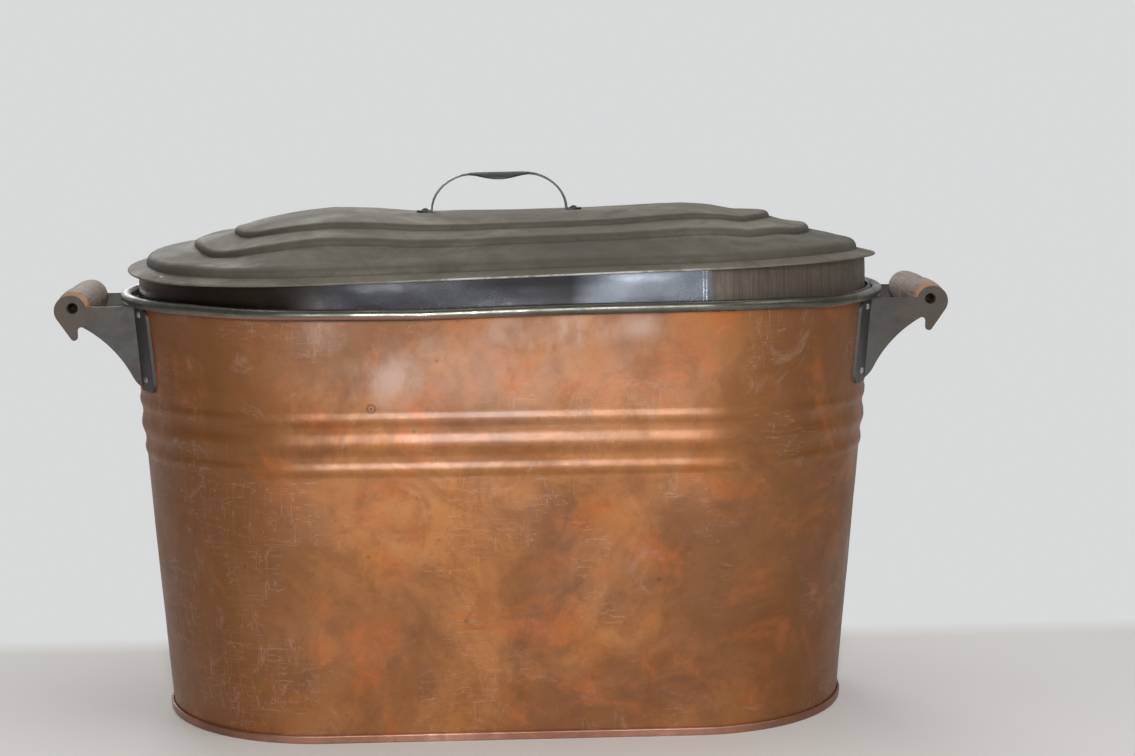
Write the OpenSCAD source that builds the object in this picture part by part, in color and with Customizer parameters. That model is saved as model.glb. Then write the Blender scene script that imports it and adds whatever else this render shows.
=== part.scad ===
// Wash boiler: a tapered, round-ended copper vessel with a lift-off stepped lid and
// two turned grips. Millimetres, +X along the length, +Y towards the back, +Z up.
// The origin is the middle of the foot, on the surface that the boiler stands on.

/* [Body] */
// Distance between the centres of the two round ends
end_span = 284; // [220:2:340]
// Width over the foot seam
foot_w = 260; // [230:2:290]
// Width over the rolled rim
rim_w = 320; // [300:2:350]
// Height of the middle of the rolled rim above the floor
rim_z = 332; // [300:1:380]
// Thickness of the copper sheet
copper_t = 0.7; // [0.5:0.05:1]
// Clearance between folded layers of sheet
fold_gap = 0.15; // [0.1:0.05:0.3]
// Height of the folded foot seam
foot_h = 6.5; // [5:0.5:9]
// Lap of one body sheet over the other at each end
seam_lap = 12; // [8:1:16]
// Length of the joggle that lifts the lap over the other sheet
joggle = 2; // [1.5:0.5:4]

/* [Rim] */
// Diameter of the iron wire inside the rolled rim
wire_d = 6.8; // [5:0.2:8]
// Angle that the sheet is rolled round the wire
roll_turn = 310; // [270:5:315]

/* [Bead band] */
// Drop of the middle bead below the rim
bead_drop = 100; // [92:0.5:132]
// Distance from the middle bead to the beads beside it
bead_pitch = 19; // [18:0.5:24]
// Width of the middle bead
main_bead_w = 20; // [16:1:21]
// How far the middle bead stands out
main_bead_h = 2; // [1.25:0.25:3.5]
// Width of the upper and lower beads
side_bead_w = 13; // [10:1:14]
// How far the upper and lower beads stand out
side_bead_h = 1.25; // [0.75:0.25:2.5]

/* [Brackets] */
// Thickness of the bracket plate
bracket_t = 2; // [1.5:0.1:3]
// Clearance between a bracket's flange and the body
bracket_gap = 0.1; // [0.05:0.05:0.3]
// Space between the top edge of a bracket and the rolled rim
bracket_drop = 0.6; // [0.5:0.1:4]
// Height of a bracket where it meets the body
bracket_h = 64.5; // [55:0.5:72]
// Width of the flange that lies on the body
flange_w = 25; // [16:1:27]
// Radius of the flange's outer corners
flange_r = 8; // [3:0.5:10]
// Radius of the bracket's head
head_r = 12; // [11:0.5:14]
// How far the head's middle lies outside the grip's axis
head_out = 2; // [1:0.5:3]
// How far the head's middle lies below the grip's axis
head_down = 2; // [1:0.5:3]
// How far the hook's tip hangs below the grip's axis
hook_drop = 25; // [22:0.2:30]
// Radius of the hook's tip
hook_r = 2.7; // [1.5:0.1:3]
// Radius of the notch behind the hook
notch_r = 3; // [2.5:0.1:4.5]
// Height of the notch's top below the grip's axis
notch_drop = 14.6; // [14:0.2:18]
// How far the bracket's lower edge is hollowed from a straight line
brace_sag = 3.8; // [2:0.2:6]
// Height above the bracket's foot where its lower edge rounds off towards the body
knee_h = 11; // [8:0.5:14]
// Distance of that point from the bracket's foot, measured outwards
knee_out = 10; // [8:0.5:12]
// How far the rounded stretch bulges from a straight line
knee_bulge = 1.2; // [0.6:0.1:2]

/* [Grips] */
// Distance of a grip's axis beyond the rim's outer edge
grip_out = 31; // [28:1:45]
// Height of a grip's axis below the middle of the rolled rim
grip_drop = 5.8; // [5:0.2:12]
// Length of a wooden grip
grip_l = 102; // [90:1:112]
// Diameter of a wooden grip
grip_d = 27; // [26:0.5:30]
// How far each half of a grip swells between its ends
belly = 0.7; // [0.3:0.1:1.2]
// Radius of a grip's rounded ends
grip_end_r = 6; // [2:0.5:6]
// Width of the groove turned round the middle of a grip
groove_w = 4; // [2:0.5:8]
// Depth of that groove
groove_d = 1.2; // [0.5:0.1:2]
// End clearance between a grip and each bracket
grip_gap = 0.4; // [0.3:0.1:1]
// Outside diameter of the hollow trunnion that carries the grip
trunnion_d = 10; // [8:0.5:11]
// Wall of the trunnion
trunnion_t = 1.5; // [1:0.1:2]
// How far the trunnion reaches into the grip
trunnion_l = 14; // [10:1:20]
// Radial running clearance of a grip on its trunnions
run_fit = 0.08; // [0.03:0.01:0.1]

/* [Rivets] */
// Shank diameter of a bracket rivet
rivet_d = 3.2; // [2.5:0.1:4]
// Head diameter of a bracket rivet
rivet_head_d = 5.6; // [5:0.1:7]
// Height of a bracket rivet's domed head
rivet_head_h = 1.8; // [1.2:0.1:2.4]
// Distance of a bracket rivet from the plate's outer face
rivet_in = 12; // [6:0.5:14]
// Distance of the upper rivet from the top of a bracket
rivet_top = 5; // [4.5:0.5:8]
// Distance of the lower rivet from the foot of a bracket
rivet_foot = 9.5; // [8:0.5:14]
// Clearance round a rivet and under its heads
rivet_gap = 0.1; // [0.05:0.05:0.2]

/* [Lid] */
// Thickness of the tinned sheet
tin_t = 0.5; // [0.4:0.05:0.8]
// Clearance between folded layers of tinned sheet
tin_gap = 0.1; // [0.1:0.05:0.2]
// Tilt of the lid in the mouth, with its right-hand end high
lid_tilt = 0.6; // [0:0.1:1.5]
// How far the lid's brim stops short of the rim's outer edge
brim_inset = 6; // [3:0.5:10]
// Width of the brim, from its edge to the first step
brim_w = 15; // [13:0.5:20]
// Rise of the brim from its edge to the first step
brim_rise = 3.5; // [2:0.25:6]
// Width of the hem folded under the brim
hem_w = 6; // [4:0.5:7]
// Overhang of the brim beyond the skirt
brim_over = 8.5; // [8:0.5:10]
// Height of the first step
step1_h = 8; // [5:0.5:12]
// Width of the tier above the first step
tier1_w = 37.5; // [25:0.5:42]
// Rise of that tier
tier1_rise = 8; // [3:0.25:12]
// Height of the second step
step2_h = 5.5; // [3:0.5:9]
// Width of the tier above the second step
tier2_w = 31.5; // [20:0.5:36]
// Rise of that tier
tier2_rise = 4.8; // [1:0.1:8]
// Height of the third step
step3_h = 4; // [2:0.5:7]
// Rise of the crown above the third step
crown_rise = 3.8; // [1:0.1:8]
// Radius of each step's shoulder as a share of the step's height
shoulder = 0.88; // [0.5:0.01:0.95]
// Depth of the skirt below the brim's edge
skirt_h = 27.6; // [24:0.2:40]
// Outside diameter of the curl along the skirt's lower edge
curl_d = 5.2; // [4.4:0.2:5.6]
// Play all round between the curl and the body's mouth
lid_play = 0.75; // [0.65:0.05:1]
// Clearance between the curl and the rivets and rim that it rests on
seat_gap = 0.35; // [0.3:0.05:0.5]
// Distance of the skirt's seams past the start of a round end
skirt_seam_out = 3; // [2.5:0.5:8]
// Lap of one half of the skirt over the other
skirt_lap = 4; // [3:0.5:12]

/* [Lid handle] */
// Distance of the handle's middle from the middle of the lid, towards the left
handle_left = 3; // [-6:0.5:6]
// Distance between the feet's inner ends
handle_span = 107; // [90:1:120]
// Height of the handle above the lid's crown
handle_h = 31; // [24:0.2:40]
// Length of the level stretch between the handle's shoulders
handle_grip_l = 37; // [25:1:50]
// Length of the leaf-shaped grip, which runs on into the shoulders
leaf_l = 58; // [40:1:66]
// Thickness of the strap
strap_t = 1.6; // [1.2:0.1:2.4]
// Width of the strap's legs
leg_w = 11; // [9:0.5:11.5]
// Width of the grip at its middle
handle_grip_w = 22; // [18:0.5:28]
// How far the grip's edges are dished down
dish = 4; // [1.5:0.25:5]
// Width of each riveted foot
strap_foot_w = 13; // [12:0.5:16]
// Distance of each foot's rivet from the middle of the leg
pin_out = 5.5; // [5:0.5:8]
// Shank diameter of a handle rivet
pin_d = 3; // [2.5:0.25:3.5]
// Head diameter of a handle rivet
pin_head_d = 6; // [5:0.25:7]
// Height of a handle rivet's domed head
pin_head_h = 1.6; // [1.2:0.1:2]

/* [Hidden] */
$fn = 96;

copper = "#a8673a";
iron = "#8a8b88";
zinc = "#6f7172";
tin = "#7d776b";
dark_tin = "#4f4b47";
wood = "#8d7a66";

end_x = end_span / 2;
over = 1; // how far a cut runs past what it cuts
crown_flat = 10; // half the width of the level strip along the lid's middle
strap_n = 8; // facets across the lid's handle

// Body wall
layer = copper_t + fold_gap;
roll_r = wire_d / 2 + fold_gap + copper_t / 2;
rim_r = rim_w / 2 - roll_r - copper_t / 2;
rim_wall_r = rim_r - roll_r + copper_t / 2;
foot_wall_r = foot_w / 2 - 3 * layer;
wall_slope = (rim_wall_r - foot_wall_r) / rim_z;
wall_lean = atan(wall_slope);
hook_z = 2.5 * copper_t + 2 * fold_gap;
lip_z = foot_h - 1.5 * copper_t - fold_gap;
seam_top = rim_z - roll_r - 2 * copper_t;
seam_foot = foot_h + fold_gap;
lap_a = turn(seam_lap, foot_wall_r);
joggle_a = turn(joggle, foot_wall_r);
butt_a = turn(fold_gap, foot_wall_r);
bead_z = rim_z - bead_drop;
beads = [
    [bead_z - bead_pitch, side_bead_w, side_bead_h],
    [bead_z, main_bead_w, main_bead_h],
    [bead_z + bead_pitch, side_bead_w, side_bead_h]
];

// Brackets and grips
grip_z = rim_z - grip_drop;
grip_x = end_x + rim_w / 2 + grip_out;
plate_y = grip_l / 2 + grip_gap;
bracket_top = rim_z - roll_r - copper_t / 2 - bracket_drop;
bracket_foot = bracket_top - bracket_h;
trunnion_r = trunnion_d / 2;
rivet_z = [bracket_foot + rivet_foot, bracket_top - rivet_top];
rivet_y = plate_y + bracket_t + rivet_in;

// Lid
tin_layer = tin_t + tin_gap;
brim_r = rim_w / 2 - brim_inset;
hem_r = brim_r - tin_layer - tin_t / 2;
hem_mid = tin_t / 2 + tin_layer;
brim_slope = brim_rise / (brim_w - (brim_r - hem_r));
step_h = [step1_h, step2_h, step3_h];
step_r = shoulder * step_h;
foot1 = hem_mid + tin_layer + brim_rise;
foot2 = foot1 + step1_h + tier1_rise;
foot3 = foot2 + step2_h + tier2_rise;
step_foot = [foot1, foot2, foot3];
step_edge = [brim_r - brim_w, brim_r - brim_w - tier1_w, brim_r - brim_w - tier1_w - tier2_w];
tier_lean = [
    atan(tier1_rise / (tier1_w - step_r[0])),
    atan(tier2_rise / (tier2_w - step_r[1])),
    atan(2 * crown_rise / (step_edge[2] - step_r[2] - crown_flat))
];
crown_h = foot3 + step3_h + crown_rise;
skirt_r = brim_r - brim_over - tin_t / 2;
curl_r = (curl_d - tin_t) / 2;
curl_z = -skirt_h + curl_d / 2;
curl_mid_r = mouth_r(rim_z) - lid_play - curl_d / 2;
skirt_foot_r = curl_mid_r - curl_r;
skirt_seam_a = turn(skirt_seam_out, skirt_r);
skirt_edge_a = turn(skirt_seam_out - tin_gap, skirt_r);
skirt_lap_a = turn(skirt_lap, skirt_r);

// The lid's seat. Its low end rests on the inner ends of the upper rivets, and it has slid
// towards its high end until its curl meets the shoulder of the rolled rim. A rivet's end
// is met at its upper inner corner.
rivet_a = asin(rivet_y / wall_r(rivet_z[1]));
rivet_reach = 3 * copper_t + rivet_gap;
stop_r = wall_r(rivet_z[1]) - rivet_reach * cos(wall_lean) + rivet_head_d / 2 * sin(wall_lean);
stop_z = rivet_z[1] + rivet_reach * sin(wall_lean) + rivet_head_d / 2 * cos(wall_lean);
stop_x = end_x + stop_r * cos(rivet_a);
lid_shift = slide(0, 2 * lid_play + curl_d, 24);
seat_z = low_z(lid_shift) + stop_x * tan(lid_tilt);

// Lid handle
strap_z = crown_h + tin_t / 2 + tin_gap + strap_t / 2;
handle_rise = handle_h - tin_gap - strap_t;
shoulder_l = (handle_span - handle_grip_l) / 2;
pin_x = handle_span / 2 + pin_out;

// The angle that an arc of length s turns through at radius r
function turn(s, r) = s / r * 180 / PI;

// The wall's outer face without its beads, as a distance from the middle line
function wall_r(z) = foot_wall_r + wall_slope * z;

// The wall's inner face
function mouth_r(z) = wall_r(z) - copper_t;

// Height of the curl's middle over the rivets, with the lid slid by d
function low_z(d) =
    stop_z + sqrt(max(0,
        pow(curl_d / 2 + seat_gap, 2) - pow(stop_r - curl_mid_r + d * cos(rivet_a), 2)));

// Room left between the curl and the rim at the high end, with the lid slid by d
function room(d) =
    let (z = low_z(d) + (stop_x + end_x + curl_mid_r) * tan(lid_tilt))
        z < rim_z
            ? mouth_r(z) - curl_mid_r - d - curl_d / 2 - seat_gap
            : norm([rim_r - curl_mid_r - d, z - rim_z]) - roll_r - (copper_t + curl_d) / 2 - seat_gap;

// The slide, between a and b, at which no room is left
function slide(a, b, n) =
    let (m = (a + b) / 2) n == 0 ? a : room(m) > 0 ? slide(m, b, n - 1) : slide(a, m, n - 1);

// The middle of the k-th layer of the foot seam, counted outwards from the wall
function layer_r(k, z) = wall_r(z) + k * layer - copper_t / 2;

// Points on an arc about c
function arc(c, r, from, to, n) =
    [for (k = [0:n]) let (a = from + (to - from) * k / n) c + r * [cos(a), sin(a)]];

// An arc from p to q that bows to the left of the line by s, or to its right where s < 0
function bowed(p, q, s, n) =
    let (
        d = q - p,
        l = norm(d),
        r = (l * l / 4 + s * s) / (2 * s),
        left = [-d[1], d[0]] / l,
        c = (p + q) / 2 + left * (s - r),
        a = asin(l / 2 / r),
        m = atan2(left[1], left[0])
    )
    arc(c, r, m + a, m - a, n);

function unit(v) = v / norm(v);

// The mitred normal of a line at its i-th point
function mitre(p, i) =
    let (
        a = unit(p[max(i, 1)] - p[max(i, 1) - 1]),
        b = unit(p[min(i, len(p) - 2) + 1] - p[min(i, len(p) - 2)]),
        n = unit([-a[1] - b[1], a[0] + b[0]])
    )
    n / (n * [-a[1], a[0]]);

// The outline between two lines that run the same way
function between(p, q) = concat(p, [for (i = [len(q) - 1:-1:0]) q[i]]);

// The line p moved to its right by d. The walls run upwards, so their right is outside.
function aside(p, d) = [for (i = [0:len(p) - 1]) p[i] - mitre(p, i) * d];

// The outline of a sheet of thickness t whose middle follows the line p
function sheet(p, t) = between(aside(p, t / 2), aside(p, -t / 2));

// The beaded stretch of the wall. A bead is one wave of a cosine.
bead_line = [
    for (b = beads) for (k = [0:10])
        let (z = b[0] + b[1] * (k / 10 - 0.5))
            [layer_r(0, z) + b[2] * (1 - cos(36 * k)) / 2, z]
];

// The wall from the foot seam to the rim, where one sheet laps over the other
seam_line = concat(
    [[layer_r(0, seam_foot), seam_foot]],
    bead_line,
    [[layer_r(0, seam_top), seam_top]]
);

// The body sheet's section: the flange caught in the foot seam, the wall with its
// beads, and the roll round the rim wire
body_line = concat(
    [[layer_r(2, lip_z), lip_z]],
    arc([layer_r(1, hook_z), hook_z], layer, 0, -180, 8),
    bead_line,
    arc([rim_r, rim_z], roll_r, 180, 180 - roll_turn, 24)
);

// The bottom sheet's section: flat, turned up outside the wall and hooked over its flange
bottom_line = concat(
    [[0, copper_t / 2]],
    arc([layer_r(2, 0), copper_t / 2 + layer], layer, -90, 0, 4),
    arc([layer_r(2, lip_z), lip_z], layer, 0, 180, 8),
    [[layer_r(1, hook_z), hook_z]]
);

// One step of the lid: its shoulder, which starts at the slope of the tier above it, then
// its upright wall down to its foot
function step_line(k) = concat(
    arc([step_edge[k] - step_r[k], step_foot[k] + step_h[k] - step_r[k]],
        step_r[k], 90 - tier_lean[k], 0, 6),
    [[step_edge[k], step_foot[k]]]
);

// The crown falls from its level strip as a parabola
function crown_line() = concat(
    [[0, crown_h]],
    [for (k = [0:5]) [
        crown_flat + (step_edge[2] - step_r[2] - crown_flat) * k / 6,
        crown_h - crown_rise * pow(k / 6, 2)
    ]]
);

// The cover's section: crown, three steps, brim and the hem folded under it
cover_line = concat(
    crown_line(),
    step_line(2),
    step_line(1),
    step_line(0),
    arc([hem_r, hem_mid], tin_layer, 90, -90, 8),
    [[hem_r - hem_w, tin_t / 2 + brim_slope * hem_w]]
);

skirt_top = hem_mid + brim_slope * (hem_r - skirt_r);

// The skirt's section: the flange caught in the brim's hem, the flared wall, and the
// curl along its lower edge
skirt_line = concat(
    [[hem_r - tin_gap, hem_mid + brim_slope * tin_gap], [skirt_r, skirt_top]],
    arc([skirt_foot_r + curl_r, curl_z], curl_r, 180, 450, 16)
);

// The middle of the skirt's wall at height h
function skirt_at(h) =
    [skirt_r + (skirt_foot_r - skirt_r) * (skirt_top - h) / (skirt_top - curl_z), h];

// The stretch of the skirt where one half laps over the other
skirt_seam_line = [skirt_at(curl_z + curl_d / 2 + tin_gap), skirt_at(-tin_t)];

// Carries a section round the front half of the plan, and stops short by butt_a at its
// right-hand end. The section's x is the distance from the middle line.
module front_sweep() {
    translate([-end_x, 0, 0]) rotate([0, 0, 180]) rotate_extrude(angle = 90) children();
    translate([end_x, 0, 0]) rotate([0, 0, 270]) rotate_extrude(angle = 90 - butt_a) children();
    side_sweep(-end_x, end_x) children();
}

// Carries a section along the straight front side, from x = a to x = b
module side_sweep(a, b) {
    translate([b, 0, 0]) rotate([90, 0, -90]) linear_extrude(b - a) children();
}

// Carries a section round the whole plan
module whole_sweep() {
    for (s = [-1, 1])
        translate([s * end_x, 0, 0]) rotate([0, 0, -90 * s]) rotate_extrude(angle = 180) children();
    side_sweep(-end_x, end_x) {
        union() {
            children();
            mirror([1, 0]) children();
        }
    }
}

// Solid of the body's plain outside, grown by g, round one end. Cuts a bracket to fit.
module end_cone(g) {
    z0 = bracket_foot - over;
    z1 = bracket_top + over;
    translate([end_x, 0, 0]) rotate([0, 0, -90]) rotate_extrude(angle = 180)
        polygon([[0, z0], [wall_r(z0) + g, z0], [wall_r(z1) + g, z1], [0, z1]]);
}

// Places children at the right front bracket's rivets, on the wall, with +Z outwards
module at_rivets() {
    for (z = rivet_z)
        translate([end_x, 0, 0]) rotate([0, 0, -asin(rivet_y / wall_r(z))])
            translate([wall_r(z), 0, z]) rotate([0, 90 + wall_lean, 0]) children();
}

module rivet_holes() {
    at_rivets()
        translate([0, 0, -bracket_t - rivet_head_h])
            cylinder(d = rivet_d + 2 * rivet_gap, h = 2 * (bracket_t + rivet_head_h));
}

// Copies children to the left-hand end as well
module both_ends() {
    children();
    mirror([1, 0, 0]) children();
}

// The front half of the body. Its left end laps over the back half, which is the same
// sheet turned round, so each half laps once and is lapped once.
module body_sheet() {
    difference() {
        union() {
            front_sweep() polygon(sheet(body_line, copper_t));
            translate([-end_x, 0, 0]) {
                rotate([0, 0, 180 - lap_a]) rotate_extrude(angle = lap_a + joggle_a)
                    polygon(sheet(aside(seam_line, layer), copper_t));
                rotate([0, 0, 180]) rotate_extrude(angle = joggle_a)
                    polygon(between(seam_line, aside(seam_line, layer)));
            }
        }
        both_ends() rivet_holes();
    }
}

module body_front() {
    color(copper) body_sheet();
}

module body_back() {
    color(copper) rotate([0, 0, 180]) body_sheet();
}

module bottom() {
    color(copper) whole_sweep() polygon(sheet(bottom_line, copper_t));
}

module rim_wire() {
    color(iron) whole_sweep() translate([rim_r, rim_z]) circle(d = wire_d);
}

// Side view of a bracket plate, with the grip's axis at the origin and +x outwards.
// Its inner end runs into the body and is cut to the wall afterwards.
module plate_outline() {
    hook_lean = 30; // slant of the hook's outer side
    notch_turn = 116; // angle that the notch's arc turns through
    head = [head_out, -head_down];
    top = bracket_top - grip_z;
    tip = [-hook_r / 4, hook_r - hook_drop];
    notch = [tip[0] - hook_r - notch_r, -notch_drop - notch_r];
    bend = end_x + sqrt(pow(wall_r(bracket_foot), 2) - pow(plate_y + bracket_t, 2));
    foot = [bend - grip_x, top - bracket_h];
    knee = foot + [knee_out, knee_h];
    back = foot[0] - 2 * flange_w;
    polygon(concat(
        [[back, top]],
        arc(head, head_r, 180 - asin((top + head_down) / head_r), -hook_lean, 24),
        arc(tip, hook_r, -hook_lean, -180, 10),
        arc(notch, notch_r, 0, notch_turn, 8),
        bowed(notch + notch_r * [cos(notch_turn), sin(notch_turn)], knee, -brace_sag, 16),
        bowed(knee, foot, knee_bulge, 6),
        [[back, foot[1]]]
    ));
}

// The flange's outline seen along X, between the plate's inner face and its free edge
module flange_outline() {
    y = flange_r - plate_y - bracket_t - flange_w;
    polygon(concat(
        arc([y, bracket_foot + flange_r], flange_r, 270, 180, 8),
        arc([y, bracket_top - flange_r], flange_r, 180, 90, 8),
        [[-plate_y, bracket_top], [-plate_y, bracket_foot]]
    ));
}

// The right front bracket
module bracket() {
    difference() {
        union() {
            translate([grip_x, -plate_y, grip_z]) rotate([90, 0, 0])
                linear_extrude(bracket_t) plate_outline();
            intersection() {
                end_cone(bracket_gap + bracket_t);
                translate([end_x, 0, 0]) rotate([90, 0, 90])
                    linear_extrude(grip_x - end_x) flange_outline();
            }
            translate([grip_x, -plate_y - bracket_t / 2, grip_z]) rotate([-90, 0, 0])
                cylinder(r = trunnion_r, h = trunnion_l + bracket_t / 2);
        }
        end_cone(bracket_gap);
        translate([grip_x, -plate_y - bracket_t - over, grip_z]) rotate([-90, 0, 0]) {
            cylinder(r = trunnion_r - trunnion_t, h = trunnion_l + bracket_t + 2 * over);
            cylinder(r1 = trunnion_r, r2 = trunnion_r - trunnion_t, h = over + trunnion_t);
        }
        rivet_holes();
    }
}

module bracket_right_front() {
    color(zinc) bracket();
}

module bracket_left_front() {
    color(zinc) mirror([1, 0, 0]) bracket();
}

module bracket_right_back() {
    color(zinc) mirror([0, 1, 0]) bracket();
}

module bracket_left_back() {
    color(zinc) rotate([0, 0, 180]) bracket();
}

// A dome of height h on a round base of diameter d, with its base at z = 0
module dome(d, h) {
    r = (d * d / 4 + h * h) / (2 * h);
    intersection() {
        translate([0, 0, h - r]) sphere(r = r);
        cylinder(d = d, h = h);
    }
}

// A bracket rivet: its dome outside the flange, and its hammered end inside the body
module rivet() {
    out = bracket_gap + bracket_t + rivet_gap;
    in = copper_t + rivet_gap;
    translate([0, 0, out]) dome(rivet_head_d, rivet_head_h);
    translate([0, 0, -in - copper_t]) cylinder(d = rivet_d, h = in + copper_t + out + over / 2);
    translate([0, 0, -in - 2 * copper_t]) cylinder(d = rivet_head_d, h = 2 * copper_t);
}

module bracket_rivets() {
    color(zinc) both_ends() {
        at_rivets() rivet();
        mirror([0, 1, 0]) at_rivets() rivet();
    }
}

// Half of a turned grip's outline, from its middle to its end: x is the radius
function grip_half() =
    let (r = grip_d / 2 - belly, z = grip_l / 2 - grip_end_r)
        concat(
            [[r - groove_d, 0]],
            bowed([r, groove_w / 2], [r, z], -belly, 10),
            arc([r - grip_end_r, z], grip_end_r, 0, 90, 8)
        );

// A turned grip on its own axis, bored right through for the trunnions
module grip() {
    bore_r = trunnion_r + run_fit;
    half = grip_half();
    translate([grip_x, 0, grip_z]) rotate([90, 0, 0]) rotate_extrude() polygon(concat(
        [[bore_r, -grip_l / 2]],
        [for (i = [len(half) - 1:-1:1]) [half[i][0], -half[i][1]]],
        half,
        [[bore_r, grip_l / 2]]
    ));
}

module grip_right() {
    color(wood) grip();
}

module grip_left() {
    color(wood) mirror([1, 0, 0]) grip();
}

// Sets the lid on its seat: tilted about the middle of its curl, and slid
module seat_lid() {
    translate([lid_shift, 0, seat_z]) rotate([0, -lid_tilt, 0]) translate([0, 0, -curl_z]) children();
}

// Places children on each foot of the lid's handle
module at_pins() {
    for (s = [-1, 1]) translate([s * pin_x - handle_left, 0, crown_h + tin_t / 2]) children();
}

module pin_holes() {
    at_pins() translate([0, 0, -2 * strap_t]) cylinder(d = pin_d + 2 * rivet_gap, h = 5 * strap_t);
}

module lid_cover() {
    color(tin) seat_lid() difference() {
        whole_sweep() polygon(sheet(cover_line, tin_t));
        pin_holes();
    }
}

// The left-hand half of the skirt. It steps outwards where the right-hand end starts, and
// laps over the other half at the front. The other half, which is the same piece turned
// round, laps over it at the back.
module skirt_half() {
    lap_line = aside(skirt_seam_line, tin_layer);
    translate([-end_x, 0, 0]) mirror([0, 1, 0]) rotate([0, 0, 90])
        rotate_extrude(angle = 180 - skirt_seam_a) polygon(sheet(skirt_line, tin_t));
    side_sweep(-end_x, end_x) polygon(sheet(skirt_line, tin_t));
    translate([end_x, 0, 0]) rotate([0, 0, 270]) {
        rotate_extrude(angle = skirt_edge_a) {
            polygon(sheet(skirt_line, tin_t));
            polygon(between(skirt_seam_line, lap_line));
        }
        rotate_extrude(angle = skirt_edge_a + skirt_lap_a) polygon(sheet(lap_line, tin_t));
    }
}

module lid_skirt_left() {
    color(dark_tin) seat_lid() skirt_half();
}

module lid_skirt_right() {
    color(dark_tin) seat_lid() rotate([0, 0, 180]) skirt_half();
}

// The right half of the strap's middle line, from the middle of the grip to the foot's end:
// the level stretch, a quarter of an ellipse, and the foot, rounded about its rivet
strap_line = concat(
    [for (k = [0:6]) [handle_grip_l / 2 * k / 6, strap_z + handle_rise]],
    [for (a = [81:-9:0]) [
        handle_span / 2 - shoulder_l * (1 - cos(a)), strap_z + handle_rise * sin(a)
    ]],
    [for (a = [0:15:75]) [pin_x + strap_foot_w / 2 * sin(a), strap_z]],
    [[pin_x + strap_foot_w / 2 * sin(85), strap_z]]
);

// How far the strap has spread into the leaf-shaped grip at x: 1 at its middle, 0 past its ends
function leaf(x) = pow(cos(90 * min(1, 2 * x / leaf_l)), 2);

// Width of the strap at x: the rounded foot, or the leg and the grip
function strap_w(x) =
    x < pin_x
        ? leg_w + (handle_grip_w - leg_w) * leaf(x)
        : 2 * sqrt(pow(strap_foot_w / 2, 2) - pow(x - pin_x, 2));

// A ring across the strap at the i-th point: its upper side, then its underside. The grip's
// edges droop as a parabola.
function strap_ring(line, i, side) =
    let (x = line[i][0], n = mitre(line, i))
        [for (t = [1, -1]) for (k = [0:strap_n])
            let (
                v = t * (2 * k / strap_n - 1),
                q = line[i] + n * (t * strap_t / 2 - dish * leaf(x) * v * v)
            )
            [side * q[0], v * strap_w(x) / 2, q[1]]];

// The strap as a loft through its rings, from the left foot to the right one
module strap() {
    last = len(strap_line) - 1;
    size = 2 * (strap_n + 1);
    left = [for (i = [last:-1:1]) strap_ring(strap_line, i, -1)];
    right = [for (i = [0:last]) strap_ring(strap_line, i, 1)];
    rings = concat(left, right);
    polyhedron(
        points = [for (ring = rings) each ring],
        faces = concat(
            [for (i = [0:len(rings) - 2]) for (k = [0:size - 1])
                let (a = i * size + k, b = i * size + (k + 1) % size)
                    each [[a, b, b + size], [a, b + size, a + size]]],
            [for (end = [0, len(rings) - 1]) for (k = [0:strap_n - 1])
                let (a = end * size + k, b = end * size + size - 1 - k)
                    each end == 0 ? [[a, b, a + 1], [a + 1, b, b - 1]] : [[a, a + 1, b], [a + 1, b - 1, b]]]
        )
    );
}

module lid_handle() {
    color(dark_tin) seat_lid() difference() {
        translate([-handle_left, 0, 0]) strap();
        pin_holes();
    }
}

// A handle rivet: its dome on the strap's foot, and its hammered end inside the lid
module pin() {
    out = tin_gap + strap_t + rivet_gap;
    in = tin_t + rivet_gap;
    translate([0, 0, out]) dome(pin_head_d, pin_head_h);
    translate([0, 0, -in - tin_t]) cylinder(d = pin_d, h = in + tin_t + out + pin_head_h / 2);
    translate([0, 0, -in - 2 * tin_t]) cylinder(d = pin_head_d, h = 2 * tin_t);
}

module lid_rivets() {
    color(dark_tin) seat_lid() at_pins() pin();
}

body_front();
body_back();
bottom();
rim_wire();
bracket_left_front();
bracket_left_back();
bracket_right_front();
bracket_right_back();
bracket_rivets();
grip_left();
grip_right();
lid_cover();
lid_skirt_left();
lid_skirt_right();
lid_handle();
lid_rivets();
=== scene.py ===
import bpy
import bmesh
import numpy as np
from mathutils import Matrix


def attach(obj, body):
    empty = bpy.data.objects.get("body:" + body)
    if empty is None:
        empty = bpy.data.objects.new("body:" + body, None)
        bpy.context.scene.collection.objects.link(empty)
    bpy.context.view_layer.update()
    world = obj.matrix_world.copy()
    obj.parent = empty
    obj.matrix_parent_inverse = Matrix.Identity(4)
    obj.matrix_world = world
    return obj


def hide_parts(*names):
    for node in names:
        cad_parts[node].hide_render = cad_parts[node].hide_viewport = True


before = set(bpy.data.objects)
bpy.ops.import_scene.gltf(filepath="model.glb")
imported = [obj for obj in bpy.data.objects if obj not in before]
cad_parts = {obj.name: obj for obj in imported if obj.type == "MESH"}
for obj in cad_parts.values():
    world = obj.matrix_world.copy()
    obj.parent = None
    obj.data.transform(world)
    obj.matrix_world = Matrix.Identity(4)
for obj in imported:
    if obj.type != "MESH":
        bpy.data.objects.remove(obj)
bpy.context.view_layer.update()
print("frame loaded:", len(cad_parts), "nodes")

# Odd factors that scramble a lattice cell and a seed into a number that looks random
scramble = {"cell": np.array([73856093, 19349663, 83492791]), "seed": 2654435, "mix": 1274126177}
lowBits = 0xFFFF
positiveBits = 0x7FFFFFFF


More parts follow.
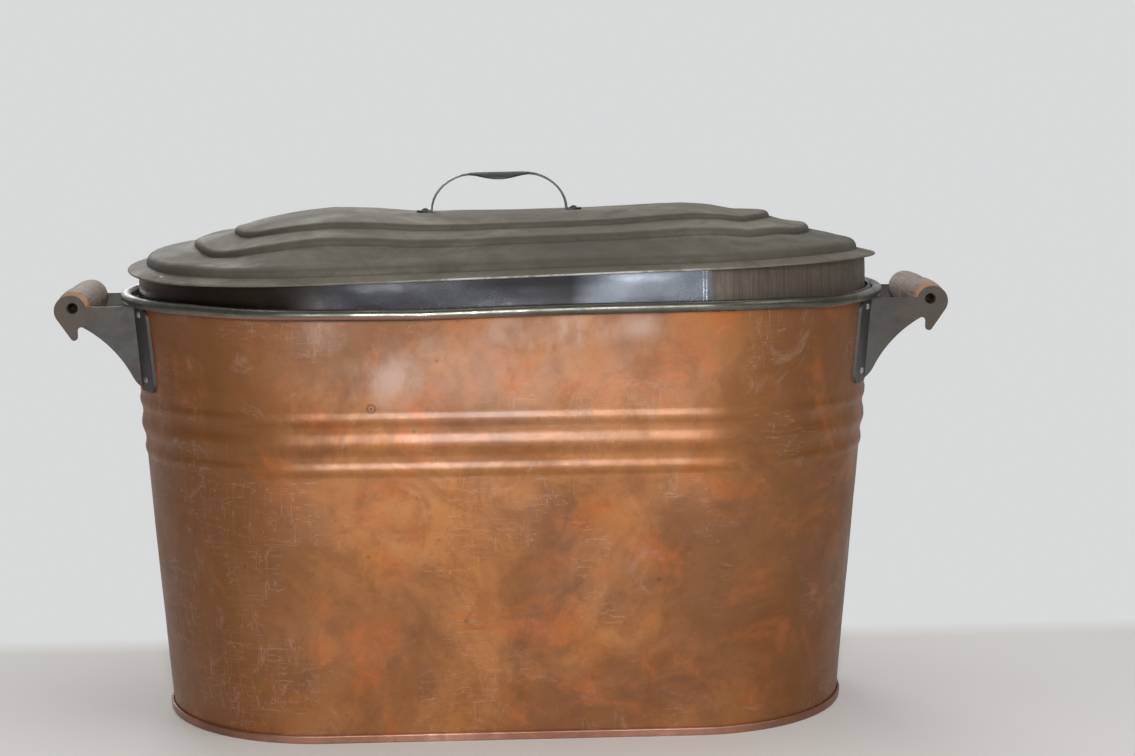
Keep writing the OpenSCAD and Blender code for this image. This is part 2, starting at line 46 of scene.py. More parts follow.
def softNoise(points, size, seed):
    # Value noise: random numbers from -1 to 1 on a lattice of that cell size, blended
    # between the eight corners of each cell by the smoothstep curve 3f^2 - 2f^3
    grid = np.asarray(points) / size
    cell = np.floor(grid).astype(np.int64)
    part = grid - cell
    part = part * part * (3 - 2 * part)
    total = np.zeros(grid.shape[:-1])
    for corner in range(8):
        step = np.array([corner & 1, corner >> 1 & 1, corner >> 2])
        key = ((cell + step) * scramble["cell"]).sum(-1) + seed * scramble["seed"]
        key = (key ^ (key >> 13)) * scramble["mix"] & positiveBits
        value = ((key ^ (key >> 16)) & lowBits) / (lowBits / 2) - 1
        total += value * np.where(step, part, 1 - part).prod(-1)
    return total


def smoothStep(a, b, x):
    # 0 up to a, 1 from b on, and the curve 3t^2 - 2t^3 between them
    t = np.clip((x - a) / (b - a), 0, 1)
    return t * t * (3 - 2 * t)


def arc(centre, radius, start, end, count):
    # Points of a circle from one angle to another, in count equal steps
    angle = np.radians(np.linspace(start, end, count + 1))
    return np.asarray(centre) + radius * np.stack([np.cos(angle), np.sin(angle)], 1)


endX = 0.142  # middles of the two round ends of the plan
roundSteps = 72  # to each end and each side of a piece that goes right round


def stations(*stretches):
    # Points round the plan: each stretch runs evenly from (centre x, angle) to the next
    # (centre x, angle), so a bend keeps its centre and a straight keeps its angle.
    rows = [np.linspace(a, b, n, endpoint=False) for a, b, n in stretches]
    rows.append(np.array([stretches[-1][1]], float))
    centreX, angle = np.concatenate(rows).T
    return centreX, np.radians(angle)


def wholePlan():
    # Stations round the whole plan, without the last one, which is the first again
    corners = (-endX, 90), (-endX, 270), (endX, 270), (endX, 450), (-endX, 450)
    centreX, angle = stations(*((a, b, roundSteps) for a, b in zip(corners, corners[1:])))
    return centreX[:-1], angle[:-1]


def outward(around):
    # The level direction away from the middle line of the plan, at each station
    angle = around[1]
    return np.stack([np.cos(angle), np.sin(angle), 0 * angle], -1)[:, None, :]


def carry(section, around):
    # A section (distance from the middle line, height) carried round the plan:
    # x = centre x + distance * cos(angle), y = distance * sin(angle), z = height
    centreX, angle = around
    r, z = section[:, 0], section[:, 1]
    x = centreX[:, None] + np.cos(angle)[:, None] * r
    y = np.sin(angle)[:, None] * r
    return np.stack([x, y, np.broadcast_to(z, x.shape)], -1)


def pathNormals(path):
    # The mitred left-hand normal of a line at each of its points
    step = np.diff(path, axis=0)
    step /= np.linalg.norm(step, axis=1)[:, None]
    before, after = np.vstack([step[:1], step]), np.vstack([step, step[-1:]])
    both = before + after
    normal = np.stack([-both[:, 1], both[:, 0]], 1)
    normal /= np.linalg.norm(normal, axis=1)[:, None]
    return normal / (normal * np.stack([-before[:, 1], before[:, 0]], 1)).sum(1)[:, None]


def sheetSides(line, around, thickness):
    # The right and the left side of a sheet: its middle line, moved by half the thickness
    # along its normals to each side and carried round the plan
    normal = pathNormals(line)
    return [carry(line + k * normal * thickness / 2, around) for k in (-1, 1)]


def gridFaces(rows, columns, start, closed=False, flip=False):
    # Quads of a grid whose points are numbered row by row
    i = np.arange(rows if closed else rows - 1)[:, None]
    j = np.arange(columns - 1)
    a, b = start + i * columns + j, start + (i + 1) % rows * columns + j
    quads = np.stack([a, b, b + 1, a + 1], -1).reshape(-1, 4)
    return quads[:, ::-1] if flip else quads


def shell(outer, inner, closed=False, hub=False):
    # A sheet between two grids of points, with its four edges closed, or with no edge at
    # the first column where that is a hub. Outer faces get material 0, the rest 1.
    rows, columns = outer.shape[:2]
    points = np.concatenate([outer.reshape(-1, 3), inner.reshape(-1, 3)])
    half = rows * columns
    outside = gridFaces(rows, columns, 0, closed)
    inside = gridFaces(rows, columns, half, closed, flip=True)
    i = np.arange(rows if closed else rows - 1)
    near, far = i * columns, (i + 1) % rows * columns
    last = columns - 1
    edges = [np.stack([near + last, far + last, half + far + last, half + near + last], 1)]
    if not hub:
        edges.append(np.stack([half + near, half + far, far, near], 1))
    if not closed:
        j, end = np.arange(columns - 1), (rows - 1) * columns
        edges.append(np.stack([j, j + 1, half + j + 1, half + j], 1))
        edges.append(np.stack([end + j + 1, end + j, half + end + j, half + end + j + 1], 1))
    faces = np.concatenate([outside, inside, *edges])
    marks = np.concatenate([np.zeros(len(outside)), np.ones(len(faces) - len(outside))])
    return points, faces, marks


def joined(*shells):
    # Several shells as one mesh's points, faces and marks
    offsets = np.cumsum([0] + [len(s[0]) for s in shells])
    return (
        np.concatenate([s[0] for s in shells]),
        np.concatenate([s[1] + k for s, k in zip(shells, offsets)]),
        np.concatenate([s[2] for s in shells]),
    )


samePlace, noLength = 1e-6, 1e-7  # points this close are one, edges this short go


def meshFrom(name, points, faces, marks=None, sharp=50):
    # Points and quads into a smooth-shaded mesh. marks gives each face its material slot,
    # and edges that bend by more than sharp degrees stay sharp.
    mesh = bpy.data.meshes.new(name)
    mesh.from_pydata(np.asarray(points).tolist(), [], np.asarray(faces).tolist())
    if marks is not None:
        mesh.polygons.foreach_set("material_index", np.asarray(marks, np.int32))
    work = bmesh.new()
    work.from_mesh(mesh)
    bmesh.ops.remove_doubles(work, verts=work.verts, dist=samePlace)
    bmesh.ops.dissolve_degenerate(work, edges=work.edges, dist=noLength)
    work.to_mesh(mesh)
    work.free()
    mesh.shade_smooth()
    mesh.set_sharp_from_angle(angle=np.radians(sharp))
    made = bpy.data.objects.new(name, mesh)
    bpy.context.scene.collection.objects.link(made)
    return made


def show(piece, body, slot, materials, *nodes):
    # A finished piece: its materials, the body it moves with and the CAD nodes it replaces
    for material in materials:
        piece.data.materials.append(material)
    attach(piece, body)
    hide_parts(*nodes)


def feed(tree, socket, value):
    # A link where the value is another node's output, and otherwise the socket's own value
    if isinstance(value, bpy.types.NodeSocket):
        tree.links.new(value, socket)
    else:
        socket.default_value = value


def addNode(tree, kind, values=None, **settings):
    made = tree.nodes.new(kind)
    for key, value in settings.items():
        setattr(made, key, value)
    for key, value in (values or {}).items():
        feed(tree, made.inputs[key], value)
    return made


def newGroup(name, **inputs):
    # A shader group that gives one mask. Each input is a number, or three for a vector.
    tree = bpy.data.node_groups.new(name, "ShaderNodeTree")
    tree.interface.new_socket(name="Vector", in_out="INPUT", socket_type="NodeSocketVector")
    for label, value in inputs.items():
        kind = "NodeSocketVector" if isinstance(value, tuple) else "NodeSocketFloat"
        tree.interface.new_socket(name=label, in_out="INPUT", socket_type=kind).default_value = value
    tree.interface.new_socket(name="Mask", in_out="OUTPUT", socket_type="NodeSocketFloat")
    return tree, tree.nodes.new("NodeGroupInput").outputs, tree.nodes.new("NodeGroupOutput").inputs


def makeBlotches():
    # Cloudy patches: noise pushed to a mask between two levels
    tree, given, result = newGroup("blotches", Scale=10, Detail=4, Roughness=0.6, Warp=0, From=0.4, To=0.6)
    cloud = addNode(tree, "ShaderNodeTexNoise", {
        "Vector": given["Vector"], "Scale": given["Scale"], "Detail": given["Detail"],
        "Roughness": given["Roughness"], "Distortion": given["Warp"]})
    ranged = addNode(tree, "ShaderNodeMapRange", {
        "Value": cloud.outputs["Fac"], "From Min": given["From"], "From Max": given["To"]},
        interpolation_type="SMOOTHSTEP")
    tree.links.new(ranged.outputs["Result"], result["Mask"])
    return tree


def makeScratches():
    # Fine scratches: thin level lines of noise that is drawn out along one direction, in
    # the places where a wider noise is below the share
    tree, given, result = newGroup(
        "scratches", Stretch=(1, 1, 1), Turn=(0, 0, 0), Scale=40, Width=0.02, Share=0.5)
    turned = addNode(tree, "ShaderNodeMapping", {
        "Vector": given["Vector"], "Rotation": given["Turn"], "Scale": given["Stretch"]})
    drawn = addNode(tree, "ShaderNodeTexNoise", {
        "Vector": turned.outputs["Vector"], "Scale": given["Scale"], "Detail": 2.0})
    level = addNode(tree, "ShaderNodeMath", {0: drawn.outputs["Fac"], 1: 0.5}, operation="SUBTRACT")
    off = addNode(tree, "ShaderNodeMath", {0: level.outputs[0]}, operation="ABSOLUTE")
    thin = addNode(tree, "ShaderNodeMapRange", {
        "Value": off.outputs[0], "From Min": given["Width"], "From Max": 0.0})
    where = addNode(tree, "ShaderNodeTexNoise", {"Vector": given["Vector"], "Scale": 14.0, "Detail": 2.0})
    some = addNode(tree, "ShaderNodeMath", {
        0: where.outputs["Fac"], 1: given["Share"]}, operation="LESS_THAN")
    both = addNode(tree, "ShaderNodeMath", {
        0: thin.outputs["Result"], 1: some.outputs[0]}, operation="MULTIPLY")
    tree.links.new(both.outputs[0], result["Mask"])
    return tree


def makeSpecks():
    # Small round marks in a share of the cells of a Voronoi pattern
    tree, given, result = newGroup("specks", Scale=60, Size=0.2, Share=0.3)
    cells = addNode(tree, "ShaderNodeTexVoronoi", {"Vector": given["Vector"], "Scale": given["Scale"]})
    spot = addNode(tree, "ShaderNodeMapRange", {
        "Value": cells.outputs["Distance"], "From Min": given["Size"], "From Max": 0.0})
    pick = addNode(tree, "ShaderNodeSeparateColor", {"Color": cells.outputs["Color"]})
    chosen = addNode(tree, "ShaderNodeMath", {
        0: pick.outputs["Red"], 1: given["Share"]}, operation="LESS_THAN")
    both = addNode(tree, "ShaderNodeMath", {
        0: spot.outputs["Result"], 1: chosen.outputs[0]}, operation="MULTIPLY")
    tree.links.new(both.outputs[0], result["Mask"])
    return tree


blotchTree, scratchTree, speckTree = makeBlotches(), makeScratches(), makeSpecks()


class Finish:
    # One material being built: its node tree, its Object coordinates and its shader

    sockets = {"color": "Base Color", "metal": "Metallic", "rough": "Roughness", "normal": "Normal",
               "coat": "Coat Weight", "coatRough": "Coat Roughness"}

    def __init__(self, name):
        self.material = bpy.data.materials.new(name)
        self.material.use_nodes = True
        self.tree = self.material.node_tree
        self.tree.nodes.clear()
        self.output = self.tree.nodes.new("ShaderNodeOutputMaterial")
        self.shader = self.tree.nodes.new("ShaderNodeBsdfPrincipled")
        self.tree.links.new(self.shader.outputs[0], self.output.inputs["Surface"])
        self.place = addNode(self.tree, "ShaderNodeTexCoord").outputs["Object"]

    def group(self, tree, **values):
        values.setdefault("Vector", self.place)
        return addNode(self.tree, "ShaderNodeGroup", values, node_tree=tree).outputs["Mask"]

    def noise(self, scale, detail):
        return addNode(self.tree, "ShaderNodeTexNoise", {
            "Vector": self.place, "Scale": scale, "Detail": detail}).outputs["Fac"]

    def stretched(self, scale):
        return addNode(self.tree, "ShaderNodeMapping", {
            "Vector": self.place, "Scale": scale}).outputs["Vector"]

    def math(self, operation, a, b=0.0, clamp=False):
        return addNode(self.tree, "ShaderNodeMath", {0: a, 1: b}, operation=operation,
                       use_clamp=clamp).outputs[0]

    def times(self, a, b):
        return self.math("MULTIPLY", a, b)

    def offset(self, value, middle):
        # How far a value is from a middle one, to either side
        return self.math("ABSOLUTE", self.math("SUBTRACT", value, middle))

    def ranged(self, value, a, b, c=0.0, d=1.0):
        return addNode(self.tree, "ShaderNodeMapRange", {
            "Value": value, "From Min": a, "From Max": b, "To Min": c, "To Max": d}).outputs["Result"]

    def mix(self, mask, a, b):
        return addNode(self.tree, "ShaderNodeMix", {0: mask, 6: a, 7: b}, data_type="RGBA").outputs[2]

    def tint(self, color, other, mask, share):
        # A colour turned to another by a share of a mask
        return self.mix(self.times(mask, share), color, other)

    def axes(self):
        return addNode(self.tree, "ShaderNodeSeparateXYZ", {0: self.place}).outputs

    def away(self, point, scale):
        # Distance from a point, with each axis scaled
        moved = addNode(self.tree, "ShaderNodeVectorMath", {0: self.place, 1: point},
                        operation="SUBTRACT")
        sized = addNode(self.tree, "ShaderNodeVectorMath", {0: moved.outputs[0], 1: scale},
                        operation="MULTIPLY")
        return addNode(self.tree, "ShaderNodeVectorMath", {0: sized.outputs[0]},
                       operation="LENGTH").outputs["Value"]

    def bump(self, height, distance, before=None):
        values = {"Height": height, "Distance": distance}
        if before is not None:
            values["Normal"] = before
        return addNode(self.tree, "ShaderNodeBump", values).outputs["Normal"]

    def uneven(self, waves, grit, cut=0.0):
        # Soft waves under a fine grit, each as (noise scale, detail, depth). A mask cuts
        # into the grit.
        normal = self.bump(self.noise(*waves[:2]), waves[2])
        return self.bump(self.math("SUBTRACT", self.noise(*grit[:2]), cut), grit[2], normal)

    def finish(self, **values):
        for key, value in values.items():
            feed(self.tree, self.shader.inputs[self.sockets[key]], value)
        return self.material


copperLook = {
    "bright": (0.39, 0.150, 0.038, 1), "orange": (0.41, 0.105, 0.014, 1),
    "brown": (0.200, 0.068, 0.012, 1), "dark": (0.078, 0.028, 0.007, 1),
    "pink": (0.46, 0.32, 0.265, 1), "metal": 0.38, "rough": (0.46, 0.64),
    # share of each kind of patch or mark
    "warmShare": 0.75, "smallShare": 0.5, "darkShare": 0.45, "grimeShare": 0.25, "pinkShare": 0.25,
    "speckShare": 0.8, "scratchShare": 0.25, "stainShare": 0.75,
    # the round ends: painted shade, darker and browner where they turn from the light, less so in the warm
    # patches, and with less of the glossy film
    "endFrom": (0.10, 0.22), "endDark": 0.82, "endMix": 0.4, "endByWarm": (1.1, 0.6), "endFilm": 0.45,
    "film": (0.1, 0.62), "filmRough": 0.33,
    # a painted sheen of pale light about a point on the upper front, partly worn copper, with the scale of
    # each axis
    "paintedSheen": 0.34, "sheenAt": (-0.01, -0.15, 0.290), "sheenScale": (5.5, 9.0, 16.0),
    # painted glints of light on the dents under the rim, partly rubbed copper: middle x, middle z, half
    # width, half height, share
    "glintsAndRubs": ((0.030, 0.316, 0.058, 0.016, 0.85), (0.095, 0.318, 0.020, 0.013, 0.6),
             (-0.090, 0.282, 0.036, 0.024, 0.7), (-0.140, 0.314, 0.020, 0.016, 0.6),
             (-0.060, 0.306, 0.018, 0.024, 0.35)),
    "glintY": -0.15, "glintScaleY": 6.0, "glintFade": (1.3, 0.2),
    "fleckStretch": (1, 1, 0.55), "fleckShares": (0.3, 1.1),
    # a ring of dirt with a dot in it: place, radius, then both as shares of the radius
    "stainAt": (-0.103, -0.147, 0.2595), "stainSize": 0.0042, "stainRing": 0.7, "stainDot": 0.25,
    "stainEdge": 3.0,
    "waves": (24.0, 2.0, 0.0006), "grit": (420.0, 3.0, 0.00004),
}


def makeCopper(name, look):
    f = Finish(name)
    wide = f.group(blotchTree, Scale=6.0, Detail=6.0, Roughness=0.65, Warp=0.5, From=0.38, To=0.62)
    small = f.group(blotchTree, Scale=24.0, Detail=7.0, Roughness=0.72, Warp=0.8, From=0.44, To=0.62)
    warm = f.group(blotchTree, Scale=15.0, Detail=7.0, Roughness=0.7, Warp=0.7, From=0.5, To=0.66)
    dark = f.group(blotchTree, Scale=10.0, Detail=7.0, Roughness=0.7, Warp=1.0, From=0.54, To=0.72)
    pink = f.group(blotchTree, Scale=19.0, Detail=8.0, Roughness=0.78, Warp=1.4, From=0.57, To=0.72)
    grime = f.group(blotchTree, Scale=75.0, Detail=6.0, Roughness=0.7, Warp=0.6, From=0.52, To=0.7)
    specks = f.group(speckTree, Scale=55.0, Size=0.13, Share=0.14)
    fine = f.group(scratchTree, Stretch=(1, 1, 9), Turn=(0.2, 0.5, 0), Scale=22.0, Width=0.012, Share=0.45)
    cross = f.group(scratchTree, Stretch=(9, 9, 1), Turn=(0.1, -0.35, 0), Scale=16.0, Width=0.01, Share=0.42)
    scratches = f.math("MAXIMUM", fine, cross)
    color = f.mix(wide, look["bright"], look["brown"])
    color = f.tint(color, look["orange"], warm, look["warmShare"])
    color = f.tint(color, look["brown"], small, look["smallShare"])
    color = f.tint(color, look["dark"], dark, look["darkShare"])
    color = f.tint(color, look["dark"], grime, look["grimeShare"])
    # Painted shade: darker and browner towards the round ends
    ends = f.ranged(f.math("ABSOLUTE", f.axes()[0]), *look["endFrom"], 0.0, look["endDark"])
    endShade = f.mix(look["endMix"], look["brown"], look["dark"])
    color = f.tint(color, endShade, ends, f.ranged(warm, 0.0, 1.0, *look["endByWarm"]))
    # Painted sheen over the upper front and painted glints on the dents near the rim, partly rubbed copper,
    # then the pink patches
    paintedSheen = f.math("SUBTRACT", 1.0, f.away(look["sheenAt"], look["sheenScale"]), clamp=True)
    glintAndWear = f.times(paintedSheen, look["paintedSheen"])
    for x, z, halfWidth, halfHeight, share in look["glintsAndRubs"]:
        patch = f.away((x, look["glintY"], z), (1 / halfWidth, look["glintScaleY"], 1 / halfHeight))
        glintAndWear = f.math("MAXIMUM", glintAndWear, f.ranged(patch, *look["glintFade"], 0.0, share))
    flecks = f.group(blotchTree, Vector=f.stretched(look["fleckStretch"]), Scale=42.0, Detail=5.0,
                     Roughness=0.6, From=0.36, To=0.64)
    glintAndWear = f.times(glintAndWear, f.ranged(flecks, 0.0, 1.0, *look["fleckShares"]))
    glintAndWear = f.math("MAXIMUM", f.times(pink, look["pinkShare"]), glintAndWear, clamp=True)
    color = f.mix(glintAndWear, color, look["pink"])
    color = f.tint(color, look["dark"], specks, look["speckShare"])
    color = f.tint(color, look["pink"], scratches, look["scratchShare"])
    stain = f.away(look["stainAt"], (1 / look["stainSize"],) * 3)
    ring = f.times(f.offset(stain, look["stainRing"]), look["stainEdge"])
    ring = f.math("SUBTRACT", 1.0, ring, clamp=True)
    spot = f.math("MAXIMUM", ring, f.math("LESS_THAN", stain, look["stainDot"]))
    color = f.tint(color, look["dark"], spot, look["stainShare"])
    film = f.group(blotchTree, Scale=17.0, Detail=5.0, Roughness=0.6, Warp=0.3, From=0.34, To=0.62)
    film = f.times(film, f.ranged(ends, 0.0, look["endDark"], 1.0, look["endFilm"]))
    return f.finish(
        color=color, metal=look["metal"], normal=f.uneven(look["waves"], look["grit"], scratches),
        rough=f.ranged(f.math("ADD", wide, small), 0.0, 2.0, *look["rough"]),
        coat=f.ranged(film, 0.0, 1.0, *look["film"]), coatRough=look["filmRough"])


copper = makeCopper("copperPatina", copperLook)
hemCopper = makeCopper("copperHem", dict(
    copperLook, bright=(0.62, 0.34, 0.24, 1), orange=(0.5, 0.22, 0.12, 1),
    brown=(0.34, 0.16, 0.10, 1), metal=0.9))

tinLook = {
    "pale": (0.200, 0.180, 0.138, 1), "dull": (0.120, 0.106, 0.080, 1),
    "dark": (0.040, 0.034, 0.025, 1), "metal": 0.2, "rough": (0.62, 0.82),
    # painted shade and dirt along the foot of each step and on the lowest tier, with half of it on the brim
    "rings": (0.1385, 0.1012, 0.0697), "ringFade": (0.0006, 0.005), "ringShade": 0.75,
    "tierFrom": (0.095, 0.115), "tierShade": 0.5, "brimFrom": (0.1385, 0.1425), "brimShade": 0.5,
    # the brim's edge, with a painted highlight along one stretch of it, where it is also rubbed
    "edge": (0.50, 0.49, 0.46, 1), "edgeGlintFrom": (0.1534, 0.1539), "edgeGlintX": 0.035,
    "edgeGlintFade": (0.07, 0.13), "edgeGlintShare": 0.8, "edgeGlintByPatch": (1.0, 0.2),
}
shinySkirtLook = {
    "pale": (0.028, 0.029, 0.033, 1), "dull": (0.019, 0.019, 0.021, 1),
    "dark": (0.018, 0.013, 0.011, 1), "metal": 0.95, "rough": (0.24, 0.36),
    # a painted reflection: a bright bluish patch on the front, towards the seam
    "paintedReflection": (0.15, 0.165, 0.19, 1), "reflectionFrom": (0.045, 0.085), "reflectionShare": (0.95, 0.7),
    "brown": (0.046, 0.034, 0.027, 1), "brownFrom": (-0.13, -0.19),
}
mattSkirtLook = {
    "pale": (0.125, 0.102, 0.082, 1), "dull": (0.082, 0.064, 0.050, 1),
    "dark": (0.046, 0.034, 0.026, 1), "metal": 0.4, "rough": (0.5, 0.66),
    "streaks": 0.5, "streakStretch": (1, 1, 0.03),
}
rimLook = {
    "pale": (0.17, 0.168, 0.145, 1), "dull": (0.088, 0.086, 0.070, 1),
    "dark": (0.045, 0.032, 0.022, 1), "metal": 0.85, "rough": (0.25, 0.48),
    "worn": (0.34, 0.17, 0.12, 1), "wornBand": (0.3272, 0.3292), "wornFade": 0.0004, "wornShare": 0.8,
}
zincLook = {
    "pale": (0.060, 0.062, 0.058, 1), "dull": (0.036, 0.035, 0.032, 1),
    "dark": (0.032, 0.022, 0.016, 1), "metal": 0.45, "rough": (0.42, 0.62),
    "rust": (0.080, 0.052, 0.036, 1), "rustFrom": (0.312, 0.345), "rustShares": (0.55, 0.45),
}
rivetLook = {
    # pale rivet heads, lighter than the brackets they hold
    "pale": (0.36, 0.37, 0.35, 1), "dull": (0.22, 0.22, 0.20, 1),
    "dark": (0.10, 0.08, 0.06, 1), "metal": 0.7, "rough": (0.35, 0.5),
}
ironLook = {
    "pale": (0.050, 0.050, 0.042, 1), "dull": (0.030, 0.031, 0.033, 1),
    "dark": (0.018, 0.016, 0.014, 1), "metal": 0.6, "rough": (0.34, 0.5),
}
# What all the tinned, zinc and iron finishes have in common
metalLook = {
    "smallShare": 0.5, "darkShare": 0.7, "speckShare": 0.6,
    "waves": (30.0, 2.0, 0.0004), "grit": (500.0, 3.0, 0.00004),
}


def lidShadeAndGlint(f, color, small, look):
    # Painted shade and dirt by the distance r from the middle line of the plan, and a painted highlight on
    # the rubbed edge
    x, y = f.math("ABSOLUTE", f.axes()[0]), f.axes()[1]
    beyond = f.math("MAXIMUM", f.math("SUBTRACT", x, endX), 0.0)
    r = f.math("SQRT", f.math("ADD", f.math("POWER", beyond, 2.0), f.math("POWER", y, 2.0)))
    # Painted shade and dirt: darker on the lowest tiers and in rings at the foot of each step
    darkening = f.ranged(r, *look["tierFrom"], 0.0, look["tierShade"])
    darkening = f.times(darkening, f.ranged(r, *look["brimFrom"], 1.0, look["brimShade"]))
    for step in look["rings"]:
        ring = f.ranged(f.offset(r, step), *look["ringFade"], look["ringShade"], 0.0)
        darkening = f.math("MAXIMUM", darkening, ring)
    color = f.mix(darkening, color, look["dark"])
    # Painted highlight along one stretch of the brim's edge, where it is also rubbed
    along = f.ranged(f.offset(f.axes()[0], look["edgeGlintX"]), *look["edgeGlintFade"], look["edgeGlintShare"], 0.0)
    glintAndWear = f.times(f.ranged(r, *look["edgeGlintFrom"]), f.ranged(small, 0.0, 1.0, *look["edgeGlintByPatch"]))
    return f.mix(f.times(glintAndWear, along), color, look["edge"])


def makeMetal(name, look):
    f = Finish(name)
    wide = f.group(blotchTree, Scale=9.0, Detail=6.0, Roughness=0.65, Warp=0.5, From=0.38, To=0.62)
    small = f.group(blotchTree, Scale=48.0, Detail=6.0, Roughness=0.75, Warp=0.4, From=0.42, To=0.64)
    dark = f.group(blotchTree, Scale=15.0, Detail=7.0, Roughness=0.7, Warp=1.0, From=0.56, To=0.74)
    specks = f.group(speckTree, Scale=90.0, Size=0.16, Share=0.16)
    color = f.mix(wide, look["pale"], look["dull"])
    color = f.tint(color, look["dull"], small, metalLook["smallShare"])
    color = f.tint(color, look["dark"], dark, metalLook["darkShare"])
    color = f.tint(color, look["dark"], specks, metalLook["speckShare"])
    if "streaks" in look:
        streaks = f.group(blotchTree, Vector=f.stretched(look["streakStretch"]), Scale=700.0, Detail=3.0,
                          Roughness=0.6, From=0.4, To=0.62)
        color = f.tint(color, look["dark"], streaks, look["streaks"])
    if "rings" in look:
        color = lidShadeAndGlint(f, color, small, look)
    if "rust" in look:
        # brown stains, which are closer together towards the grip
        stains = f.group(blotchTree, Scale=34.0, Detail=6.0, Roughness=0.7, Warp=0.6, From=0.42, To=0.68)
        outwards = f.ranged(f.math("ABSOLUTE", f.axes()[0]), *look["rustFrom"])
        spread, near = look["rustShares"]
        rust = f.math("ADD", f.times(stains, spread), f.times(outwards, near), clamp=True)
        color = f.mix(rust, color, look["rust"])
    if "brown" in look:
        color = f.mix(f.ranged(f.axes()[0], *look["brownFrom"]), color, look["brown"])
    # Painted reflection: a bright patch on the front of the skirt
    if "paintedReflection" in look:
        patch = f.times(f.ranged(f.axes()[0], *look["reflectionFrom"]), f.math("LESS_THAN", f.axes()[1], 0.0))
        color = f.tint(color, look["paintedReflection"], patch, f.ranged(small, 0.0, 1.0, *look["reflectionShare"]))
    if "worn" in look:
        z, (low, high), fade = f.axes()[2], look["wornBand"], look["wornFade"]
        band = f.times(f.ranged(z, high, high - fade), f.ranged(z, low - fade, low))
        color = f.tint(color, look["worn"], band, look["wornShare"])
    return f.finish(
        color=color, metal=look["metal"], normal=f.uneven(metalLook["waves"], metalLook["grit"]),
        rough=f.ranged(f.math("ADD", wide, small), 0.0, 2.0, *look["rough"]))


tin = makeMetal("dullTin", tinLook)
shinySkirt = makeMetal("shinySkirt", shinySkirtLook)
mattSkirt = makeMetal("mattSkirt", mattSkirtLook)
rimTin = makeMetal("rimTin", rimLook)
zinc = makeMetal("stainedZinc", zincLook)
rivetZinc = makeMetal("paleZinc", rivetLook)
iron = makeMetal("darkIron", ironLook)

woodLook = {
    "pale": (0.30, 0.25, 0.205, 1), "grey": (0.19, 0.155, 0.13, 1), "dark": (0.10, 0.07, 0.05, 1),
    "orange": (0.30, 0.135, 0.048, 1), "rough": 0.7, "grain": 540.0, "cracks": 270.0,
    "stretch": (1, 0.06, 1), "grainHeight": -0.4, "depth": 0.0002,
    "grainShare": 0.6, "dirtShare": 0.6, "crackShare": 0.5,
    # the fine groove round the middle, and the ends, which are more orange
    "groove": 0.0016, "grooveShare": 0.7, "endFrom": (0.0445, 0.0535), "endBroken": 0.006,
    "endShare": (0.95, 0.55),
}


def makeWood(name, look):
    f = Finish(name)
    along = f.stretched(look["stretch"])
    grain = f.group(blotchTree, Vector=along, Scale=look["grain"], Detail=5.0, Roughness=0.6,
                    Warp=0.3, From=0.4, To=0.62)
    cracks = f.group(blotchTree, Vector=along, Scale=look["cracks"], Detail=3.0, Roughness=0.5,
                     Warp=0.2, From=0.62, To=0.7)
    darkening = f.group(blotchTree, Scale=45.0, Detail=4.0, Roughness=0.6, Warp=0.5, From=0.45, To=0.65)
    edge = f.group(blotchTree, Scale=90.0, Detail=4.0, Roughness=0.6, From=0.3, To=0.7)
    y = f.math("ABSOLUTE", f.axes()[1])
    ends = f.ranged(f.math("ADD", y, f.times(edge, look["endBroken"])), *look["endFrom"])
    groove = f.math("SUBTRACT", 1.0, f.math("DIVIDE", y, look["groove"]), clamp=True)
    color = f.tint(look["pale"], look["grey"], grain, look["grainShare"])
    color = f.tint(color, look["grey"], darkening, look["dirtShare"])
    color = f.tint(color, look["dark"], cracks, look["crackShare"])
    color = f.tint(color, look["dark"], groove, look["grooveShare"])
    color = f.tint(color, look["orange"], ends, f.ranged(grain, 0.0, 1.0, *look["endShare"]))
    height = f.math("SUBTRACT", f.times(grain, look["grainHeight"]), cracks)
    return f.finish(color=color, metal=0.0, rough=look["rough"], normal=f.bump(height, look["depth"]))


wood = makeWood("weatheredWood", woodLook)
print("materials made")

bodyShape = {
    "footWidth": 0.260, "rimWidth": 0.320, "rimHeight": 0.332, "sheet": 0.0007,
    "foldGap": 0.00015, "footHeight": 0.0065, "wire": 0.0068, "rollTurn": 310,
    "lap": 0.012, "joggle": 0.002, "joggleDrop": 0.9,
    # the band of beads, then each bead: middle, width, height
    "beadBand": (0.204, 0.260),
    "beads": ((0.213, 0.013, 0.00125), (0.232, 0.020, 0.002), (0.251, 0.013, 0.00125)),
    # steps of the grid: up the wall, up the beads, round an end, along a side, over a lap
    "wallSteps": 100, "beadSteps": 58, "endSteps": 44, "sideSteps": 72, "lapSteps": 6,
    "footSteps": 8, "rollSteps": 28, "wireSteps": 12,
    # waves and ripples of the wall: height, size, seed; the ripples are stronger at the top
    "waves": (0.0009, 0.11, 3), "ripples": (0.0004, 0.036, 8), "highRipple": 1.2, "highFrom": (0.25, 0.29),
    # where the wall is held still: the foot, the rim and the stretch under the brackets
    "footFree": (0.008, 0.04), "rimFree": (0.305, 0.328),
    "bracketX": (0.235, 0.262), "bracketY": (0.07, 0.085), "bracketZ": (0.225, 0.255),
    # lift of the bent rim along the front, and how it grows with height and depth
    "rimX": (-0.27, -0.235, -0.193, -0.13, -0.065, 0.02, 0.075, 0.168, 0.208, 0.24, 0.27),
    "rimZ": (0, 0, -0.0013, -0.0020, -0.0023, 0, 0.0010, 0.0020, 0.0020, 0, 0),
    "liftFrom": (0.275, 0.326), "liftY": (0, 0.09),
}
sheet = bodyShape["sheet"]
layer = sheet + bodyShape["foldGap"]
rollRadius = bodyShape["wire"] / 2 + bodyShape["foldGap"] + sheet / 2
